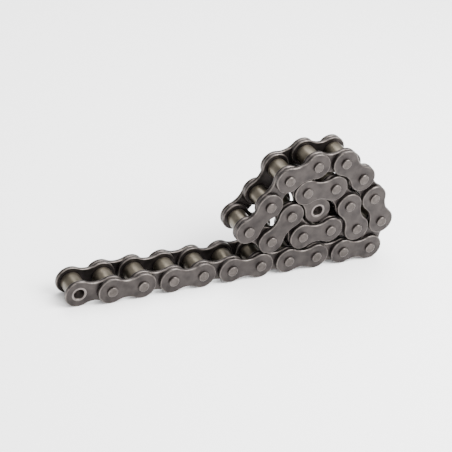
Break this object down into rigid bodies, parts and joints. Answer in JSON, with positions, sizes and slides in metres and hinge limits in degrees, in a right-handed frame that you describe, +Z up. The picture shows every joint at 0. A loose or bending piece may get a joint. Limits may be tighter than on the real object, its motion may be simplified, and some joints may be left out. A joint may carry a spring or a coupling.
{
  "type": "roller conveyor chain",
  "caption": "Roller conveyor chain with waisted plates, bushes, solid pins and free rollers, lying straight and curled back over itself at one end.",
  "frame": {"origin": "centre of the open bush bore at the chain's first end", "axes": "+X along the straight run away from the open end, +Y along the pins, +Z up, across the plates"},
  "size_m": [0.2821, 0.0324, 0.1076],
  "materials": {
    "bush_links": "satin black oxide",
    "pin_links": "satin black oxide",
    "rollers": "satin hardened steel"
  },
  "bodies": {
    "link_01": {"inner_link_01": "bush_links"},
    "link_02": {"outer_link_01": "pin_links"},
    "link_03": {"inner_link_02": "bush_links"},
    "link_04": {"outer_link_02": "pin_links"},
    "link_05": {"inner_link_03": "bush_links"},
    "link_06": {"outer_link_03": "pin_links"},
    "link_07": {"inner_link_04": "bush_links"},
    "link_08": {"outer_link_04": "pin_links"},
    "link_09": {"inner_link_05": "bush_links"},
    "link_10": {"outer_link_05": "pin_links"},
    "link_11": {"inner_link_06": "bush_links"},
    "link_12": {"outer_link_06": "pin_links"},
    "link_13": {"inner_link_07": "bush_links"},
    "link_14": {"outer_link_07": "pin_links"},
    "link_15": {"inner_link_08": "bush_links"},
    "link_16": {"outer_link_08": "pin_links"},
    "link_17": {"inner_link_09": "bush_links"},
    "link_18": {"outer_link_09": "pin_links"},
    "link_19": {"inner_link_10": "bush_links"},
    "link_20": {"outer_link_10": "pin_links"},
    "link_21": {"inner_link_11": "bush_links"},
    "link_22": {"outer_link_11": "pin_links"},
    "link_23": {"inner_link_12": "bush_links"},
    "link_24": {"outer_link_12": "pin_links"},
    "link_25": {"inner_link_13": "bush_links"},
    "link_26": {"outer_link_13": "pin_links"},
    "link_27": {"inner_link_14": "bush_links"},
    "spinning_roller_01": {"roller_01": "rollers"},
    "spinning_roller_02": {"roller_02": "rollers"},
    "spinning_roller_03": {"roller_03": "rollers"},
    "spinning_roller_04": {"roller_04": "rollers"},
    "spinning_roller_05": {"roller_05": "rollers"},
    "spinning_roller_06": {"roller_06": "rollers"},
    "spinning_roller_07": {"roller_07": "rollers"},
    "spinning_roller_08": {"roller_08": "rollers"},
    "spinning_roller_09": {"roller_09": "rollers"},
    "spinning_roller_10": {"roller_10": "rollers"},
    "spinning_roller_11": {"roller_11": "rollers"},
    "spinning_roller_12": {"roller_12": "rollers"},
    "spinning_roller_13": {"roller_13": "rollers"},
    "spinning_roller_14": {"roller_14": "rollers"},
    "spinning_roller_15": {"roller_15": "rollers"},
    "spinning_roller_16": {"roller_16": "rollers"},
    "spinning_roller_17": {"roller_17": "rollers"},
    "spinning_roller_18": {"roller_18": "rollers"},
    "spinning_roller_19": {"roller_19": "rollers"},
    "spinning_roller_20": {"roller_20": "rollers"},
    "spinning_roller_21": {"roller_21": "rollers"},
    "spinning_roller_22": {"roller_22": "rollers"},
    "spinning_roller_23": {"roller_23": "rollers"},
    "spinning_roller_24": {"roller_24": "rollers"},
    "spinning_roller_25": {"roller_25": "rollers"},
    "spinning_roller_26": {"roller_26": "rollers"},
    "spinning_roller_27": {"roller_27": "rollers"},
    "spinning_roller_28": {"roller_28": "rollers"}
  },
  "joints": [
    {"name": "pin_01_hinge", "type": "hinge", "parent": "link_01", "child": "link_02", "pos_m": [0.0254, 0, 0], "axis": [0, -1, 0], "range_deg": [-25, 25]},
    {"name": "pin_02_hinge", "type": "hinge", "parent": "link_02", "child": "link_03", "pos_m": [0.0508, 0, 0], "axis": [0, -1, 0], "range_deg": [-25, 25]},
    {"name": "pin_03_hinge", "type": "hinge", "parent": "link_03", "child": "link_04", "pos_m": [0.0762, 0, 0], "axis": [0, -1, 0], "range_deg": [-25, 25]},
    {"name": "pin_04_hinge", "type": "hinge", "parent": "link_04", "child": "link_05", "pos_m": [0.1016, 0, 0], "axis": [0, -1, 0], "range_deg": [-25, 25]},
    {"name": "pin_05_hinge", "type": "hinge", "parent": "link_05", "child": "link_06", "pos_m": [0.127, 0, 0], "axis": [0, -1, 0], "range_deg": [-25, 25]},
    {"name": "pin_06_hinge", "type": "hinge", "parent": "link_06", "child": "link_07", "pos_m": [0.1524, 0, 0], "axis": [0, -1, 0], "range_deg": [-25, 25]},
    {"name": "pin_07_hinge", "type": "hinge", "parent": "link_07", "child": "link_08", "pos_m": [0.1778, 0, 0], "axis": [0, -1, 0], "range_deg": [-25, 0]},
    {"name": "pin_08_hinge", "type": "hinge", "parent": "link_08", "child": "link_09", "pos_m": [0.2032, 0, 0], "axis": [0, -1, 0], "range_deg": [-25, 0]},
    {"name": "pin_09_hinge", "type": "hinge", "parent": "link_09", "child": "link_10", "pos_m": [0.2286, 0, 0], "axis": [0, -1, 0], "range_deg": [-25, 0]},
    {"name": "coil_unroll", "type": "hinge", "parent": "link_10", "child": "link_11", "pos_m": [0.254, 0, 0], "axis": [0, -1, 0], "range_deg": [-74, 0]},
    {"name": "pin_11_hinge", "type": "hinge", "parent": "link_11", "child": "link_12", "pos_m": [0.25971, 0, 0.02475], "axis": [0, -1, 0], "range_deg": [-30.56, 0]},
    {"name": "pin_12_hinge", "type": "hinge", "parent": "link_12", "child": "link_13", "pos_m": [0.24858, 0, 0.04758], "axis": [0, -1, 0], "range_deg": [-6.52, 0]},
    {"name": "pin_13_hinge", "type": "hinge", "parent": "link_13", "child": "link_14", "pos_m": [0.23365, 0, 0.06813], "axis": [0, -1, 0], "range_deg": [-28.77, 0]},
    {"name": "pin_14_hinge", "type": "hinge", "parent": "link_14", "child": "link_15", "pos_m": [0.21448, 0, 0.08479], "axis": [0, -1, 0], "range_deg": [-32.91, 0]},
    {"name": "pin_15_hinge", "type": "hinge", "parent": "link_15", "child": "link_16", "pos_m": [0.18908, 0, 0.08524], "axis": [0, -1, 0], "range_deg": [-13.18, 0]},
    {"name": "pin_16_hinge", "type": "hinge", "parent": "link_16", "child": "link_17", "pos_m": [0.16537, 0, 0.07613], "axis": [0, -1, 0], "range_deg": [-24.22, 0]},
    {"name": "pin_17_hinge", "type": "hinge", "parent": "link_17", "child": "link_18", "pos_m": [0.15229, 0, 0.05436], "axis": [0, -1, 0], "range_deg": [0, 37.68]},
    {"name": "pin_18_hinge", "type": "hinge", "parent": "link_18", "child": "link_19", "pos_m": [0.1363, 0, 0.03462], "axis": [0, -1, 0], "range_deg": [-69.42, 0]},
    {"name": "pin_19_hinge", "type": "hinge", "parent": "link_19", "child": "link_20", "pos_m": [0.1583, 0, 0.02192], "axis": [0, -1, 0], "range_deg": [-40.61, 0]},
    {"name": "pin_20_hinge", "type": "hinge", "parent": "link_20", "child": "link_21", "pos_m": [0.17287, 0, 0.04273], "axis": [0, -1, 0], "range_deg": [0, 128.69]},
    {"name": "pin_21_hinge", "type": "hinge", "parent": "link_21", "child": "link_22", "pos_m": [0.1867, 0, 0.02142], "axis": [0, -1, 0], "range_deg": [-20.94, 0]},
    {"name": "pin_22_hinge", "type": "hinge", "parent": "link_22", "child": "link_23", "pos_m": [0.21201, 0, 0.02364], "axis": [0, -1, 0], "range_deg": [0, 48.12]},
    {"name": "pin_23_hinge", "type": "hinge", "parent": "link_23", "child": "link_24", "pos_m": [0.23727, 0, 0.02098], "axis": [0, -1, 0], "range_deg": [-88.12, 0]},
    {"name": "pin_24_hinge", "type": "hinge", "parent": "link_24", "child": "link_25", "pos_m": [0.22613, 0, 0.04381], "axis": [0, -1, 0], "range_deg": [0, 28.32]},
    {"name": "pin_25_hinge", "type": "hinge", "parent": "link_25", "child": "link_26", "pos_m": [0.20914, 0, 0.06269], "axis": [0, -1, 0], "range_deg": [0, 5.79]},
    {"name": "pin_26_hinge", "type": "hinge", "parent": "link_26", "child": "link_27", "pos_m": [0.18374, 0, 0.06269], "axis": [0, -1, 0], "range_deg": [-91.13, 0]},
    {"name": "roller_01_spin", "type": "hinge", "parent": "link_01", "child": "spinning_roller_01", "pos_m": [0, 0, 0], "axis": [0, 1, 0], "continuous": true},
    {"name": "roller_02_spin", "type": "hinge", "parent": "link_01", "child": "spinning_roller_02", "pos_m": [0.0254, 0, 0], "axis": [0, 1, 0], "continuous": true},
    {"name": "roller_03_spin", "type": "hinge", "parent": "link_03", "child": "spinning_roller_03", "pos_m": [0.0508, 0, 0], "axis": [0, 1, 0], "continuous": true},
    {"name": "roller_04_spin", "type": "hinge", "parent": "link_03", "child": "spinning_roller_04", "pos_m": [0.0762, 0, 0], "axis": [0, 1, 0], "continuous": true},
    {"name": "roller_05_spin", "type": "hinge", "parent": "link_05", "child": "spinning_roller_05", "pos_m": [0.1016, 0, 0], "axis": [0, 1, 0], "continuous": true},
    {"name": "roller_06_spin", "type": "hinge", "parent": "link_05", "child": "spinning_roller_06", "pos_m": [0.127, 0, 0], "axis": [0, 1, 0], "continuous": true},
    {"name": "roller_07_spin", "type": "hinge", "parent": "link_07", "child": "spinning_roller_07", "pos_m": [0.1524, 0, 0], "axis": [0, 1, 0], "continuous": true},
    {"name": "roller_08_spin", "type": "hinge", "parent": "link_07", "child": "spinning_roller_08", "pos_m": [0.1778, 0, 0], "axis": [0, 1, 0], "continuous": true},
    {"name": "roller_09_spin", "type": "hinge", "parent": "link_09", "child": "spinning_roller_09", "pos_m": [0.2032, 0, 0], "axis": [0, 1, 0], "continuous": true},
    {"name": "roller_10_spin", "type": "hinge", "parent": "link_09", "child": "spinning_roller_10", "pos_m": [0.2286, 0, 0], "axis": [0, 1, 0], "continuous": true},
    {"name": "roller_11_spin", "type": "hinge", "parent": "link_11", "child": "spinning_roller_11", "pos_m": [0.254, 0, 0], "axis": [0, 1, 0], "continuous": true},
    {"name": "roller_12_spin", "type": "hinge", "parent": "link_11", "child": "spinning_roller_12", "pos_m": [0.25971, 0, 0.02475], "axis": [0, 1, 0], "continuous": true},
    {"name": "roller_13_spin", "type": "hinge", "parent": "link_13", "child": "spinning_roller_13", "pos_m": [0.24858, 0, 0.04758], "axis": [0, 1, 0], "continuous": true},
    {"name": "roller_14_spin", "type": "hinge", "parent": "link_13", "child": "spinning_roller_14", "pos_m": [0.23365, 0, 0.06813], "axis": [0, 1, 0], "continuous": true},
    {"name": "roller_15_spin", "type": "hinge", "parent": "link_15", "child": "spinning_roller_15", "pos_m": [0.21448, 0, 0.08479], "axis": [0, 1, 0], "continuous": true},
    {"name": "roller_16_spin", "type": "hinge", "parent": "link_15", "child": "spinning_roller_16", "pos_m": [0.18908, 0, 0.08524], "axis": [0, 1, 0], "continuous": true},
    {"name": "roller_17_spin", "type": "hinge", "parent": "link_17", "child": "spinning_roller_17", "pos_m": [0.16537, 0, 0.07613], "axis": [0, 1, 0], "continuous": true},
    {"name": "roller_18_spin", "type": "hinge", "parent": "link_17", "child": "spinning_roller_18", "pos_m": [0.15229, 0, 0.05436], "axis": [0, 1, 0], "continuous": true},
    {"name": "roller_19_spin", "type": "hinge", "parent": "link_19", "child": "spinning_roller_19", "pos_m": [0.1363, 0, 0.03462], "axis": [0, 1, 0], "continuous": true},
    {"name": "roller_20_spin", "type": "hinge", "parent": "link_19", "child": "spinning_roller_20", "pos_m": [0.1583, 0, 0.02192], "axis": [0, 1, 0], "continuous": true},
    {"name": "roller_21_spin", "type": "hinge", "parent": "link_21", "child": "spinning_roller_21", "pos_m": [0.17287, 0, 0.04273], "axis": [0, 1, 0], "continuous": true},
    {"name": "roller_22_spin", "type": "hinge", "parent": "link_21", "child": "spinning_roller_22", "pos_m": [0.1867, 0, 0.02142], "axis": [0, 1, 0], "continuous": true},
    {"name": "roller_23_spin", "type": "hinge", "parent": "link_23", "child": "spinning_roller_23", "pos_m": [0.21201, 0, 0.02364], "axis": [0, 1, 0], "continuous": true},
    {"name": "roller_24_spin", "type": "hinge", "parent": "link_23", "child": "spinning_roller_24", "pos_m": [0.23727, 0, 0.02098], "axis": [0, 1, 0], "continuous": true},
    {"name": "roller_25_spin", "type": "hinge", "parent": "link_25", "child": "spinning_roller_25", "pos_m": [0.22613, 0, 0.04381], "axis": [0, 1, 0], "continuous": true},
    {"name": "roller_26_spin", "type": "hinge", "parent": "link_25", "child": "spinning_roller_26", "pos_m": [0.20914, 0, 0.06269], "axis": [0, 1, 0], "continuous": true},
    {"name": "roller_27_spin", "type": "hinge", "parent": "link_27", "child": "spinning_roller_27", "pos_m": [0.18374, 0, 0.06269], "axis": [0, 1, 0], "continuous": true},
    {"name": "roller_28_spin", "type": "hinge", "parent": "link_27", "child": "spinning_roller_28", "pos_m": [0.19867, 0, 0.04214], "axis": [0, 1, 0], "continuous": true}
  ],
  "couplings": [
    {"joint": "pin_11_hinge", "follows": "coil_unroll", "ratio": 0.4128},
    {"joint": "pin_12_hinge", "follows": "coil_unroll", "ratio": 0.088},
    {"joint": "pin_13_hinge", "follows": "coil_unroll", "ratio": 0.3886},
    {"joint": "pin_14_hinge", "follows": "coil_unroll", "ratio": 0.4446},
    {"joint": "pin_15_hinge", "follows": "coil_unroll", "ratio": 0.178},
    {"joint": "pin_16_hinge", "follows": "coil_unroll", "ratio": 0.3271},
    {"joint": "pin_17_hinge", "follows": "coil_unroll", "ratio": -0.509},
    {"joint": "pin_18_hinge", "follows": "coil_unroll", "ratio": 0.938},
    {"joint": "pin_19_hinge", "follows": "coil_unroll", "ratio": 0.5487},
    {"joint": "pin_20_hinge", "follows": "coil_unroll", "ratio": -1.7389},
    {"joint": "pin_21_hinge", "follows": "coil_unroll", "ratio": 0.2828},
    {"joint": "pin_22_hinge", "follows": "coil_unroll", "ratio": -0.6502},
    {"joint": "pin_23_hinge", "follows": "coil_unroll", "ratio": 1.1907},
    {"joint": "pin_24_hinge", "follows": "coil_unroll", "ratio": -0.3826},
    {"joint": "pin_25_hinge", "follows": "coil_unroll", "ratio": -0.0781},
    {"joint": "pin_26_hinge", "follows": "coil_unroll", "ratio": 1.2313}
  ]
}
